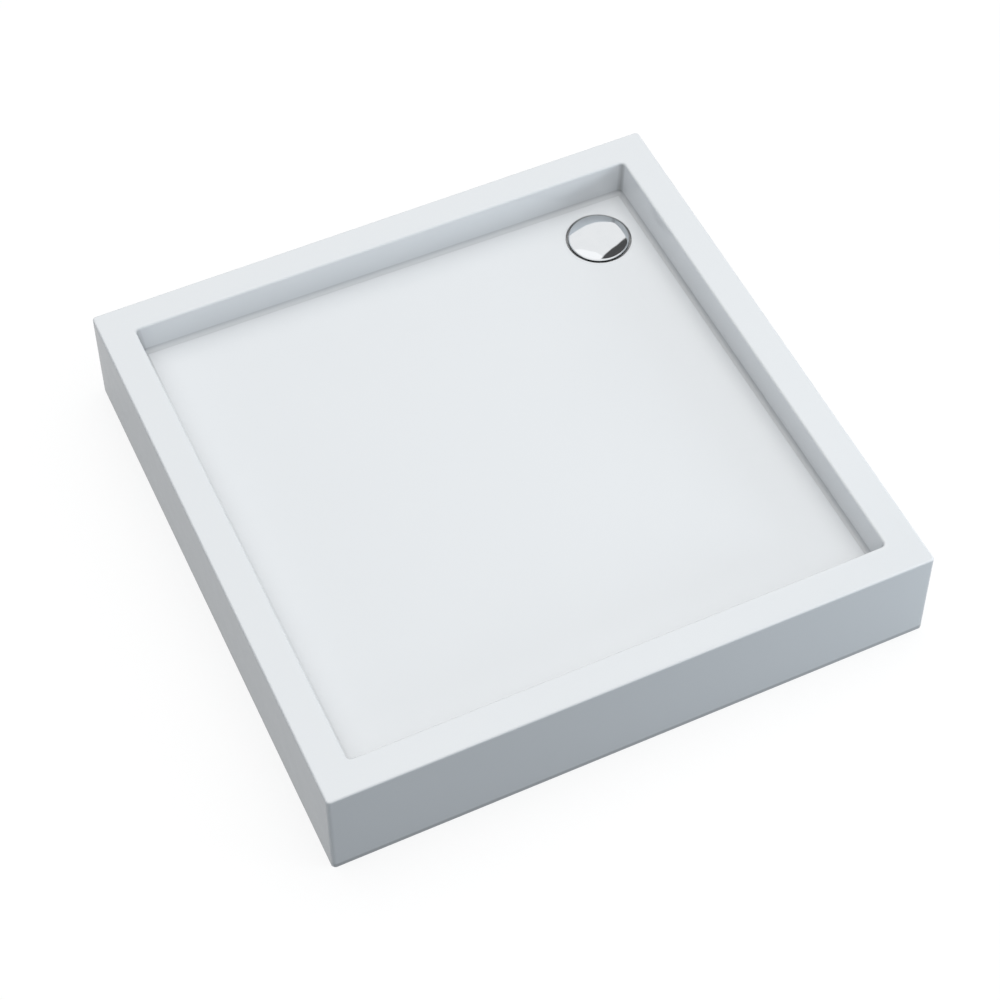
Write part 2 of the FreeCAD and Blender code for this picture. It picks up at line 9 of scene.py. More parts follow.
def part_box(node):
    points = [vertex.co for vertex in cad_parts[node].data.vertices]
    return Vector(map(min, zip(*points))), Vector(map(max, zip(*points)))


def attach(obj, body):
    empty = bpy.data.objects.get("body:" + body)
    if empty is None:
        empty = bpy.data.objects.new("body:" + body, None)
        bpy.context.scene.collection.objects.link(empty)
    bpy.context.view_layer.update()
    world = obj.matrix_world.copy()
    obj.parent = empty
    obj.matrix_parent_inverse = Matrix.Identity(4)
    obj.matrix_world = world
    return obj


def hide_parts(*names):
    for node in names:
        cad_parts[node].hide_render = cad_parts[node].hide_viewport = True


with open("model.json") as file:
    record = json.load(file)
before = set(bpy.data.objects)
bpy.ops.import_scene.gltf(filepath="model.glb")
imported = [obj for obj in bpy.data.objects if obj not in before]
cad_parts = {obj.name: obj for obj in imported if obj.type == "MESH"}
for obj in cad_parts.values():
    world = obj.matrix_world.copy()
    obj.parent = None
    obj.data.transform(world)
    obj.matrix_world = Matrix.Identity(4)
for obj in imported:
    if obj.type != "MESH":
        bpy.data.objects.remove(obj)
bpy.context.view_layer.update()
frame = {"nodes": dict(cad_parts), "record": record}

# A square acrylic shower tray with its waste in the +X +Y corner.
# Lengths in the dictionaries are in millimetres, as in the part's source.
mm = 0.001
sharpAngle = math.radians(32)
mergeDistance = 0.002 * mm     # points closer than this become one
footNames = ["front_left", "front_right", "back_left", "waste_side", "centre"]


# Camera, floor and light.

cameraSet = {
    "place": (-990.72, -2143.09, 3221.01),
    "turn": (36.30906, 0.09016, -25.00654),    # degrees
    "lens": 88.4028,
    "sensor": 36.0,
}

studio = {
    "floorSize": 14000.0,
    "floorHole": 1000.0,       # under the tray, so that its underside gets light from below
    "floorGlow": 0.80,         # the rest of the floor's white is lit, so it takes the shadow
    "floorLit": 0.22,
    "floorMirrored": 0.49,     # glow that glossy surfaces show
    "floorBounce": (0.135, 0.155, 0.175),    # grey that the floor shows to diffuse light
    "keyFrom": (0.06, 0.08, 0.995),    # the softbox overhead leans to the right and to the back
    "horizon": 0.26,           # sky strength at the horizon, in the softbox's middle and from below
    "zenith": 2.33,
    "below": 0.85,
    "belowRise": 4.0,          # how fast the light from below grows under the horizon
    "horizonTint": (0.90, 0.985, 1.055),
    "keyTint": (1.065, 1.01, 0.955),
}

mirrored = {                   # the sky that polished metal shows, with three patches in it
    "sky": 0.985,
    "panelGain": 0.16,
    "panel": [(-0.3, 0.235, 0.015), (0.1, 2.0, 0.05), (0.845, 2.0, 0.01)],    # from, to, softness on x, y, z
    "screenLevel": 0.085,
    "screen": [(0.0, 0.66, 0.04), (0.05, 0.475, 0.02), (0.0, 0.955, 0.02)],
    "screenSlant": 1.3,        # the screen's left edge runs aslant
    "screenShift": 0.012,
    "screenSoft": 0.03,
    "duskLevel": 0.25,         # dark patch low down on the left, at the back
    "duskRise": 2.0,
    "duskStart": 1.2,
    "duskHeight": (-1.0, 0.5, 0.2),
}

fillLamp = {                   # stands low on the right, in front
    "place": (1800.0, -1800.0, 600.0),
    "aim": (300.0, 400.0, 100.0),
    "size": 700.0,
    "spread": 100.0,
    "power": 4.7,
    "colour": (0.84, 0.93, 1.0),
}


def addCamera():
    camera = bpy.data.objects.new("camera", bpy.data.cameras.new("camera"))
    camera.location = [value * mm for value in cameraSet["place"]]
    camera.rotation_euler = [math.radians(angle) for angle in cameraSet["turn"]]
    camera.data.lens = cameraSet["lens"]
    camera.data.sensor_width = cameraSet["sensor"]
    bpy.context.scene.collection.objects.link(camera)
    bpy.context.scene.camera = camera
    bpy.context.scene.view_settings.view_transform = "Standard"


# Node graphs.

class Signal:                                   # an output socket that takes part in sums
    def __init__(self, graph, socket):
        self.graph = graph
        self.socket = socket

    def join(self, operation, first, second=None):
        inputs = [first] if second is None else [first, second]
        return self.graph.add("ShaderNodeMath", {"operation": operation}, inputs)

    def __add__(self, other):
        return self.join("ADD", self, other)

    def __radd__(self, other):
        return self.join("ADD", other, self)

    def __sub__(self, other):
        return self.join("SUBTRACT", self, other)

    def __rsub__(self, other):
        return self.join("SUBTRACT", other, self)

    def __mul__(self, other):
        return self.join("MULTIPLY", self, other)

    def __rmul__(self, other):
        return self.join("MULTIPLY", other, self)

    def __truediv__(self, other):
        return self.join("DIVIDE", self, other)

    def __mod__(self, other):
        return self.join("MODULO", self, other)

    def __gt__(self, other):
        return self.join("GREATER_THAN", self, other)

    def least(self, other):
        return self.join("MINIMUM", self, other)

    def most(self, other):
        return self.join("MAXIMUM", self, other)

    def size(self):
        return self.join("ABSOLUTE", self)

    def root(self):
        return self.join("SQRT", self)

    def sine(self):
        return self.join("SINE", self)

    def cosine(self):
        return self.join("COSINE", self)

    def floor(self):
        return self.join("FLOOR", self)

    def clamp(self):
        return self.most(0.0).least(1.0)

    def pick(self, name):                       # another output of the same node
        return Signal(self.graph, self.socket.node.outputs[name])


class Graph:
    def __init__(self, tree):
        self.tree = tree

    def add(self, kind, settings=None, inputs=None, output=None):
        node = self.tree.nodes.new(kind)
        for name, value in (settings or {}).items():
            if name == "stops":
                self.setStops(node.color_ramp, value)
            else:
                setattr(node, name, value)
        pairs = inputs.items() if isinstance(inputs, dict) else enumerate(inputs or [])
        for key, value in pairs:
            socket = node.inputs[key]
            if isinstance(value, Signal):
                self.tree.links.new(value.socket, socket)
            else:
                socket.default_value = value
        found = [socket for socket in node.outputs if socket.enabled]
        return Signal(self, node.outputs[output] if output else found[0]) if found else node

    def setStops(self, ramp, stops):
        while len(ramp.elements) < len(stops):
            ramp.elements.new(1.0)
        for element, (place, colour) in zip(ramp.elements, stops):
            element.position = place
            element.color = (*colour, 1.0)

    def split(self, vector):
        parts = self.add("ShaderNodeSeparateXYZ", None, [vector])
        return [parts.pick(axis) for axis in "XYZ"]

    def mixColour(self, factor, first, second):
        colours = [value if isinstance(value, Signal) else (*value, 1.0) for value in (first, second)]
        return self.add("ShaderNodeMix", {"data_type": "RGBA"}, {0: factor, 6: colours[0], 7: colours[1]},
                        output=2)

    def mixShader(self, factor, first, second):
        return self.add("ShaderNodeMixShader", None, [factor, first, second])

    def ramp(self, value, stops):
        return self.add("ShaderNodeValToRGB", {"stops": stops}, [value])

    def spread(self, value, low, high, newLow=0.0, newHigh=1.0):
        return self.add("ShaderNodeMapRange", None, [value, low, high, newLow, newHigh])


class Finish(Graph):                            # one material, built on a Principled shader
    def __init__(self, name):
        self.material = bpy.data.materials.new(name)
        self.material.use_nodes = True
        super().__init__(self.material.node_tree)
        self.tree.nodes.clear()
        self.place = self.add("ShaderNodeTexCoord", output="Object")

    def moved(self, stretch, turn):
        inputs = {"Vector": self.place, "Scale": stretch, "Rotation": turn}
        return self.add("ShaderNodeMapping", {"vector_type": "POINT"}, inputs)

    def cloud(self, scale, detail=2.0, roughness=0.5, distortion=0.0, place=None):
        inputs = {"Vector": place or self.place, "Scale": scale, "Detail": detail,
                  "Roughness": roughness, "Distortion": distortion}
        return self.add("ShaderNodeTexNoise", None, inputs)

    def cells(self, scale, place=None):
        return self.add("ShaderNodeTexVoronoi", None, {"Vector": place or self.place, "Scale": scale})

    def bump(self, height, distance, strength=1.0, below=None):
        inputs = {"Strength": strength, "Distance": distance, "Height": height}
        if below:
            inputs["Normal"] = below
        return self.add("ShaderNodeBump", None, inputs)

    def finish(self, **sockets):
        names = {"colour": "Base Color", "roughness": "Roughness", "metallic": "Metallic",
                 "normal": "Normal", "coat": "Coat Weight", "coatRoughness": "Coat Roughness",
                 "specular": "Specular IOR Level"}
        inputs = {}
        for key, value in sockets.items():
            plain = key == "colour" and not isinstance(value, Signal)
            inputs[names[key]] = (*value, 1.0) if plain else value
        shader = self.add("ShaderNodeBsdfPrincipled", None, inputs)
        self.add("ShaderNodeOutputMaterial", None, {"Surface": shader})
        return self.material


def rise(value, soft):                          # goes softly from nothing to one where the value passes zero
    return (value / soft + 0.5).clamp()


def window(value, low, high, soft):             # one between low and high, with soft ends
    return rise(value - low, soft) * rise(high - value, soft)


def ridge(value, centre, width):                # one at the centre, nothing from width away
    return (1 - ((value - centre) / width).size()).clamp()


def flatLength(x, y):
    return (x * x + y * y).root()


def patch(direction, reaches):                  # one inside a box of directions
    onX, onY, onZ = [window(value, *reach) for value, reach in zip(direction, reaches)]
    return onX * onY * onZ


def mirroredSky(x, y, z):
    panel = patch((x, y, z), mirrored["panel"])
    rightOfEdge = rise(x * mirrored["screenSlant"] + mirrored["screenShift"] - y, mirrored["screenSoft"])
    screen = rightOfEdge * patch((x, y, z), mirrored["screen"])
    dusk = ((y - x) * mirrored["duskRise"] - mirrored["duskStart"]).clamp()
    dusk = dusk * window(z, *mirrored["duskHeight"]) * (mirrored["sky"] - mirrored["duskLevel"])
    level = mirrored["sky"] + panel * mirrored["panelGain"] - dusk
    return level * (1 - screen) + screen * mirrored["screenLevel"]


def addWorld():
    world = bpy.data.worlds.new("studio_sky")
    world.use_nodes = True
    graph = Graph(world.node_tree)
    graph.tree.nodes.clear()
    x, y, z = graph.split(graph.add("ShaderNodeTexCoord", output="Generated"))
    keyX, keyY, keyZ = studio["keyFrom"]
    towards = (x * keyX + y * keyY + z * keyZ).clamp()
    gathered = towards * towards * towards * towards
    daylight = studio["horizon"] + gathered * (studio["zenith"] - studio["horizon"])
    daylight = daylight + (z * -studio["belowRise"]).clamp() * (studio["below"] - studio["horizon"])
    path = graph.add("ShaderNodeLightPath")
    seen = path.pick("Is Camera Ray").most(path.pick("Is Transmission Ray"))
    glossy = path.pick("Is Glossy Ray")
    level = daylight * (1 - glossy) + glossy * mirroredSky(x, y, z)
    level = level * (1 - seen) + seen
    tint = graph.mixColour(gathered, studio["horizonTint"], studio["keyTint"])
    colour = graph.mixColour(glossy.most(seen), tint, (1, 1, 1))
    background = graph.add("ShaderNodeBackground", None, {"Color": colour, "Strength": level})
    graph.add("ShaderNodeOutputWorld", None, {"Surface": background})
    bpy.context.scene.world = world


def addLamp():
    light = bpy.data.lights.new("fill_lamp", "AREA")
    light.shape = "DISK"
    light.size = fillLamp["size"] * mm
    light.spread = math.radians(fillLamp["spread"])
    light.energy = fillLamp["power"]
    light.color = fillLamp["colour"]
    lamp = bpy.data.objects.new("fill_lamp", light)
    lamp.location = Vector(fillLamp["place"]) * mm
    aim = Vector(fillLamp["aim"]) - Vector(fillLamp["place"])
    lamp.rotation_euler = aim.to_track_quat("-Z", "Y").to_euler()
    lamp.visible_camera = False
    lamp.visible_glossy = False
    bpy.context.scene.collection.objects.link(lamp)


def addFloor():
    corners = []
    for size in (studio["floorSize"], studio["floorHole"]):
        half = size * mm / 2
        corners += [(-half, -half, 0), (half, -half, 0), (half, half, 0), (-half, half, 0)]
    faces = []
    bridge(faces, 0, 4, 4)
    mesh = bpy.data.meshes.new("floor")
    mesh.from_pydata(corners, [], faces)
    floor = bpy.data.objects.new("floor", mesh)
    bpy.context.scene.collection.objects.link(floor)
    material = bpy.data.materials.new("pale_floor")
    material.use_nodes = True
    graph = Graph(material.node_tree)
    graph.tree.nodes.clear()
    path = graph.add("ShaderNodeLightPath")
    glossy = path.pick("Is Glossy Ray")
    seen = path.pick("Is Camera Ray").most(glossy).most(path.pick("Is Transmission Ray"))
    strength = studio["floorGlow"] - glossy * (studio["floorGlow"] - studio["floorMirrored"])
    lit = graph.add("ShaderNodeBsdfDiffuse", None, {"Color": (*[studio["floorLit"]] * 3, 1.0)})
    glow = graph.add("ShaderNodeEmission", None, {"Strength": strength})
    bounce = graph.add("ShaderNodeBsdfDiffuse", None, {"Color": (*studio["floorBounce"], 1.0)})
    pale = graph.add("ShaderNodeAddShader", None, [lit, glow])
    above = graph.mixShader(seen, bounce, pale)
    below = graph.add("ShaderNodeBsdfTransparent")           # lets a view from under the floor through
    underside = graph.add("ShaderNodeNewGeometry", output="Backfacing")
    graph.add("ShaderNodeOutputMaterial", None, {"Surface": graph.mixShader(underside, above, below)})
    mesh.materials.append(material)


# Finishes.

shade = {                      # painted shade on the acrylic, as a share of the colour
    "wallCrease": 0.05,        # where a wall meets the cove
    "wallCreaseWidth": 2.4,
    "floorCrease": 0.05,       # where the cove meets the floor
    "floorCreaseWidth": 1.6,
    "cove": 0.205,
    "coveSoft": 1.8,
    "floorEdge": 0.05,
    "floorReach": 40.0,
    "highSide": 0.25,          # share of the painted shade on the sides away from the waste
    "lowStart": 330.0,
    "lowWide": 90.0,
    "backShare": 0.62,         # share at the front and the back, beside the whole at the sides
    "mitre": 60.0,             # width over which one share turns into the other in a corner
    "wallFoot": 0.15,          # painted shade low down on every wall
    "floorWide": 0.040,        # painted shade far in over the floor, less at the left and least at the front
    "floorWideReach": 330.0,
    "leftShare": 0.7,
    "corner": 0.31,            # painted shade in the upright corners between two walls
    "cornerMiddle": 2.4,
    "cornerWidth": 6.5,
    "cornerSides": 0.08,
    "cornerReach": 34.0,
    "outerMargin": 3.0,        # how far out past the wall the bowl's shade goes on
    "seat": 0.40,              # painted shade in the gap round the waste cover, with a soft halo beside it
    "seatHalo": 0.07,
    "seatReach": 9.0,
    "hem": 0.30,               # painted shade along the lower edge of the front and back apron, weaker at the sides
    "hemSides": 0.06,
    "hemHeight": 8.5,
    "hemSoft": 4.0,
}


# Painted shade along the cove: a dark line where a wall meets it, one where it meets the floor, the cove
# itself and the floor beside it.
def coveShade(along, onWall):
    wallCrease = ridge(along, tray["cove"], shade["wallCreaseWidth"]) * shade["wallCrease"]
    floorCrease = ridge(along, -tray["cove"], shade["floorCreaseWidth"]) * shade["floorCrease"]
    cove = window(along, -tray["cove"], tray["cove"], shade["coveSoft"]) * shade["cove"]
    floorEdge = (1 - onWall) * (1 + along / shade["floorReach"]).clamp() * shade["floorEdge"]
    return wallCrease + floorCrease + cove + floorEdge


# Painted shade is fuller beside the right and back walls, where the walls cast more shade, and at the sides
# more than at the front and back.
def sideShare(lowSide, onSides):
    nearWaste = ((lowSide - shade["lowStart"]) / shade["lowWide"]).clamp()
    share = shade["highSide"] + nearWaste * (1 - shade["highSide"])
    return share * (shade["backShare"] + onSides * (1 - shade["backShare"]))


# Painted shade that darkens the walls towards their foot and the floor towards the walls.
def wideShade(x, lowSide, along, onWall):
    wallFoot = onWall * (1 - along / tray["floorDepth"]).clamp() * shade["wallFoot"]
    floorWide = (1 - onWall) * (1 + along / shade["floorWideReach"]).clamp() * shade["floorWide"]
    return wallFoot + floorWide * (lowSide.most(x * -shade["leftShare"]) / bowlTop).clamp()


# Painted shade: a dark line in each upright corner of the bowl, fading beside it.
def cornerShade(fromCorner):
    crease = ridge(fromCorner, shade["cornerMiddle"], shade["cornerWidth"]) * shade["corner"]
    beside = (1 - fromCorner / shade["cornerReach"]).clamp()
    return crease + beside * beside * shade["cornerSides"]


# Painted shade in the seat's gap round the cover and a soft painted halo of shade on the floor beside it.
def seatShade(x, y):
    fromSeat = flatLength(x - wasteAt, y - wasteAt) - tray["seatRadius"] - tray["seatEdge"]
    gap = (-1.0 * fromSeat / tray["seatEdge"]).clamp() * shade["seat"]
    return gap + (1 - fromSeat / shade["seatReach"]).clamp() * shade["seatHalo"]


# Painted shade: a dark band along the apron's lower edge, where it meets the floor.
def hemShade(x, y, z):
    onFront = y.size() > x.size()
    low = rise(shade["hemHeight"] - z, shade["hemSoft"])
    return low * (shade["hemSides"] + onFront * (shade["hem"] - shade["hemSides"]))


# Painted shade in the bowl: its creases, cove, upright corners, wall feet, floor edges, the waste seat's gap
# and the apron's lower edge.
def paintedAcrylicShade(finish):
    # Measures how far a spot lies in from the bowl's wall and up from its floor, and paints shade from that.
    x, y, z = [part / mm for part in finish.split(finish.place)]
    half = bowlTop - (tray["height"] - z) * bowlSlope
    radius = tray["bowlCorner"]
    overX = x.size() - half + radius
    overY = y.size() - half + radius
    inward = radius - flatLength(overX.most(0.0), overY.most(0.0)) - overX.most(overY).least(0.0)
    upward = z - (tray["height"] - tray["floorDepth"]) + (x + y) * tray["floorFall"]
    along = upward - inward                     # runs down the wall, round the cove and over the floor
    onWall = (along / tray["cove"]).clamp()
    onSides = rise(overX - overY, shade["mitre"])
    lowSide = x.most(y)
    edges = coveShade(along, onWall) * sideShare(lowSide, onSides) + wideShade(x, lowSide, along, onWall)
    edges = edges + onWall * cornerShade(radius - overX.least(overY))
    inBowl = (inward + shade["outerMargin"]).clamp() * ((tray["height"] - z) / tray["rimInner"]).clamp()
    return (edges * inBowl).most(seatShade(x, y)).most(hemShade(x, y, z))


def whiteAcrylic():
    finish = Finish("white_acrylic")
    haze = finish.cloud(3.0, 3.0, 0.55)
    clean = finish.mixColour(haze, (0.810, 0.830, 0.850), (0.828, 0.848, 0.868))
    # The acrylic's colour darkens towards black where shade is painted.
    colour = finish.mixColour(paintedAcrylicShade(finish), clean, (0.0, 0.0, 0.0))
    waves = finish.cloud(9.0, 2.0, 0.45)
    peel = finish.cloud(420.0, 1.5, 0.5)
    normal = finish.bump(waves, 0.0009, 0.35)
    normal = finish.bump(peel, 0.00002, 0.5, normal)
    roughness = finish.spread(finish.cloud(26.0, 4.0, 0.6), 0.3, 0.7, 0.10, 0.17)
    return finish.finish(colour=colour, roughness=roughness, normal=normal, specular=0.5)


def sprayedFibreglass():
    finish = Finish("sprayed_fibreglass")
    warp = finish.cloud(30.0, 2.0, 0.5)
    strands = None
    for turn in (0.2, 1.2, 2.3):                # chopped strands lie in every direction
        place = finish.moved(stretch=(1.0, 0.06, 1.0), turn=(turn, 0.4 * turn, turn))
        run = finish.cloud(420.0, 2.0, 0.6, 0.6, place)
        strands = run if strands is None else strands.most(run)
    strands = finish.spread(strands, 0.52, 0.78)
    patches = finish.spread(warp, 0.35, 0.7)
    resin = finish.mixColour(patches, (0.46, 0.43, 0.30), (0.62, 0.60, 0.48))
    colour = finish.mixColour(strands * 0.55, resin, (0.80, 0.79, 0.71))
    normal = finish.bump(finish.cloud(85.0, 3.0, 0.6), 0.0030, 0.6)
    normal = finish.bump(strands, 0.0008, 0.7, normal)
    roughness = finish.spread(strands, 0.0, 1.0, 0.28, 0.62)
    return finish.finish(colour=colour, roughness=roughness, normal=normal)


def chipboard():
    finish = Finish("chipboard")
    flakes = finish.cells(190.0, finish.moved(stretch=(1.0, 1.7, 2.4), turn=(0.0, 0.0, 0.4)))
    tone = finish.split(flakes.pick("Color"))[0]
    grain = finish.cloud(650.0, 3.0, 0.65)
    wood = finish.ramp(tone, [(0.0, (0.30, 0.19, 0.095)), (0.35, (0.46, 0.32, 0.17)),
                              (0.7, (0.56, 0.42, 0.25)), (1.0, (0.66, 0.53, 0.34))])
    colour = finish.mixColour(finish.spread(grain, 0.35, 0.75, 0.0, 0.45), wood, (0.33, 0.22, 0.12))
    sealed = finish.spread(finish.cloud(14.0, 3.0, 0.6), 0.42, 0.62)
    height = flakes.pick("Distance") * 0.6 + grain * 0.5
    normal = finish.bump(height, 0.0006, 0.6)
    return finish.finish(colour=colour, roughness=0.72 - sealed * 0.28, normal=normal, coat=sealed * 0.25,
                         coatRoughness=0.3)


def zincSteel():
    finish = Finish("zinc_steel")
    spangle = finish.split(finish.cells(260.0).pick("Color"))[0]
    stain = finish.spread(finish.cloud(60.0, 3.0, 0.6), 0.35, 0.7)
    colour = finish.mixColour(stain, (0.60, 0.63, 0.66), (0.72, 0.71, 0.66))
    roughness = 0.24 + spangle * 0.10 + stain * 0.10
    normal = finish.bump(finish.cloud(900.0, 2.0, 0.5), 0.00006, 0.5)
    return finish.finish(colour=colour, metallic=1.0, roughness=roughness, normal=normal)


def stainlessSteel(centre):
    finish = Finish("stainless_steel")
    local = finish.add("ShaderNodeVectorMath", {"operation": "SUBTRACT"}, [finish.place, centre])
    radius = flatLength(*finish.split(local)[:2])        # the brushed lines run round the waste
    lines = finish.add("ShaderNodeTexNoise", {"noise_dimensions": "1D"},
                       {"W": radius, "Scale": 2600.0, "Detail": 3.0, "Roughness": 0.6})
    smudge = finish.spread(finish.cloud(45.0, 3.0, 0.6), 0.3, 0.7)
    colour = finish.mixColour(smudge, (0.66, 0.67, 0.68), (0.73, 0.73, 0.735))
    normal = finish.bump(lines, 0.00005, 0.4)
    return finish.finish(colour=colour, metallic=1.0, roughness=0.20 + smudge * 0.12, normal=normal)


def mirrorChrome():
    finish = Finish("mirror_chrome")
    smudge = finish.spread(finish.cloud(38.0, 4.0, 0.6, 0.4), 0.4, 0.75)
    colour = finish.mixColour(smudge, (0.800, 0.820, 0.838), (0.780, 0.802, 0.822))
    normal = finish.bump(finish.cloud(55.0, 1.0, 0.4), 0.00004, 0.35)
    return finish.finish(colour=colour, metallic=1.0, roughness=0.035 + smudge * 0.03, normal=normal)


def blackRubber():
    finish = Finish("black_rubber")
    dust = finish.spread(finish.cloud(120.0, 4.0, 0.65), 0.4, 0.8)
    colour = finish.mixColour(dust, (0.018, 0.018, 0.019), (0.045, 0.044, 0.042))
    normal = finish.bump(finish.cloud(1400.0, 2.0, 0.5), 0.00008, 0.5)
    return finish.finish(colour=colour, roughness=0.55 + dust * 0.2, normal=normal)


def mouldedPlastic(name, dark, light, roughness):
    finish = Finish(name)
    patches = finish.spread(finish.cloud(24.0, 3.0, 0.6), 0.35, 0.7)
    colour = finish.mixColour(patches, dark, light)
    spark = finish.cloud(1600.0, 2.0, 0.5)      # fine texture of an eroded mould
    flow = finish.cloud(50.0, 2.0, 0.5)
    normal = finish.bump(spark, 0.00006, 0.5, finish.bump(flow, 0.0004, 0.3))
    return finish.finish(colour=colour, roughness=roughness + patches * 0.1, normal=normal)


# Meshes.

def addPiece(name, points, faces, material, body, nodes):
    mesh = bpy.data.meshes.new(name)
    mesh.from_pydata([[value * mm for value in point] for point in points], [], faces)
    mesh.update()
    placePiece(name, mesh, material, body, nodes)


def placePiece(name, mesh, material, body, nodes):
    tidyMesh(mesh)
    mesh.materials.clear()
    mesh.materials.append(material)
    piece = bpy.data.objects.new(name, mesh)
    bpy.context.scene.collection.objects.link(piece)
    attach(piece, body)
    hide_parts(*nodes)
    print("made", name, len(mesh.vertices), "points")


def tidyMesh(mesh):                             # closes seams, faces outwards, keeps hard edges
    work = bmesh.new()
    work.from_mesh(mesh)
    bmesh.ops.remove_doubles(work, verts=work.verts, dist=mergeDistance)
    holes = [edge for edge in work.edges if edge.is_boundary]
    if holes:
        bmesh.ops.holes_fill(work, edges=holes)
    bmesh.ops.recalc_face_normals(work, faces=work.faces)
    for face in work.faces:
        face.smooth = True
    for edge in work.edges:
        edge.smooth = len(edge.link_faces) == 2 and edge.calc_face_angle(0.0) < sharpAngle
    work.to_mesh(mesh)
    work.free()


def bridge(faces, first, second, count):        # a band of quads between two closed rings
    for step in range(count):
        after = (step + 1) % count
        faces.append((first + step, first + after, second + after, second + step))


def circle(centre, radius, segments):
    turns = [2 * math.pi * step / segments for step in range(segments)]
    return [(centre[0] + radius * math.cos(turn), centre[1] + radius * math.sin(turn)) for turn in turns]


def lathe(profile, centre, segments):
    # Turns (radius, level) points round an upright axis; a radius of nothing makes a pole.
    points = []
    faces = []
    for radius, level in profile:
        points += [(x, y, level) for x, y in circle(centre, radius, segments)]
    for row in range(len(profile) - 1):
        bridge(faces, row * segments, (row + 1) * segments, segments)
    return points, faces


def arc(centreX, centreZ, radius, start, end, steps):
    found = []
    for step in range(steps + 1):
        angle = math.radians(start + (end - start) * step / max(steps, 1))
        found.append((centreX + radius * math.cos(angle), centreZ + radius * math.sin(angle)))
    return found


# Acrylic tray and its backing.

tray = {
    "half": 500.0,
    "height": 183.0,
    "apronDraft": 1.0,
    "apronCorner": 6.5,
    "apronTop": 3.5,
    "rimWidth": 54.7,
    "rimInner": 4.0,
    "bowlCorner": 8.0,
    "bowlDraft": 5.0,
    "cove": 7.0,
    "floorDepth": 55.1,
    "floorFall": 0.0119,
    "acrylic": 4.0,
    "backing": 3.0,
    "hem": 12.0,
    "wasteInset": 88.6,
    "seatRadius": 55.5,
    "seatDepth": 7.0,
    "seatEdge": 1.5,
    "seatStrip": 1.0,          # narrow strip beside the seat's corner and the hole
    "hole": 45.0,
    "support": 3.0,            # flat strip beside each rounding, so that flats shade flat
    "leastCorner": 0.5,
    "apronTopSteps": 8,
    "rimInnerSteps": 10,
    "coveSteps": 12,
    "seatEdgeSteps": 6,
}

lumps = {                      # the sprayed layer's free side
    "depth": 1.3,
    "size": 34.0,
    "fineSize": 3.1,           # how many times finer the second pattern is
    "fineShare": 0.25,
    "hemMargin": 1.0,          # left smooth above the layer's lower edge
    "topMargin": 12.0,         # what counts as the rim's, the apron's and the floor's stretch
    "apronMargin": 10.0,
    "floorMargin": 20.0,
}

apronSlope = math.tan(math.radians(tray["apronDraft"]))
bowlSlope = math.tan(math.radians(tray["bowlDraft"]))
bowlTop = tray["half"] - tray["height"] * apronSlope - tray["rimWidth"]
wasteAt = bowlTop - tray["wasteInset"]
floorTilt = math.sqrt(1 + 2 * tray["floorFall"] ** 2)


def floorLevel(x, y, depth=0.0):
    return tray["height"] - tray["floorDepth"] - tray["floorFall"] * (x + y) - depth * floorTilt


seatLevel = floorLevel(wasteAt, wasteAt) - tray["seatDepth"]


def squareRing(section, sideSteps, cornerSteps):
    # section(x, y) gives the half width, corner radius and level there.
    ring = []
    for quarter in range(4):
        turn = Matrix.Rotation(math.pi / 2 * quarter, 2)
        for step in range(sideSteps + cornerSteps):
            x, y = turn @ Vector((bowlTop, 0.0))
            for _ in range(3):                  # a section's size depends on the place, so it settles
                half, radius = section(x, y)[:2]
                radius = max(radius, tray["leastCorner"])
                flat = half - radius
                if step < sideSteps:
                    local = Vector((half, flat * (2 * step / sideSteps - 1)))
                else:
                    angle = math.pi / 2 * (step - sideSteps) / cornerSteps
                    local = Vector((flat + radius * math.cos(angle), flat + radius * math.sin(angle)))
                x, y = turn @ local
            ring.append((x, y, section(x, y)[2]))
    return ring


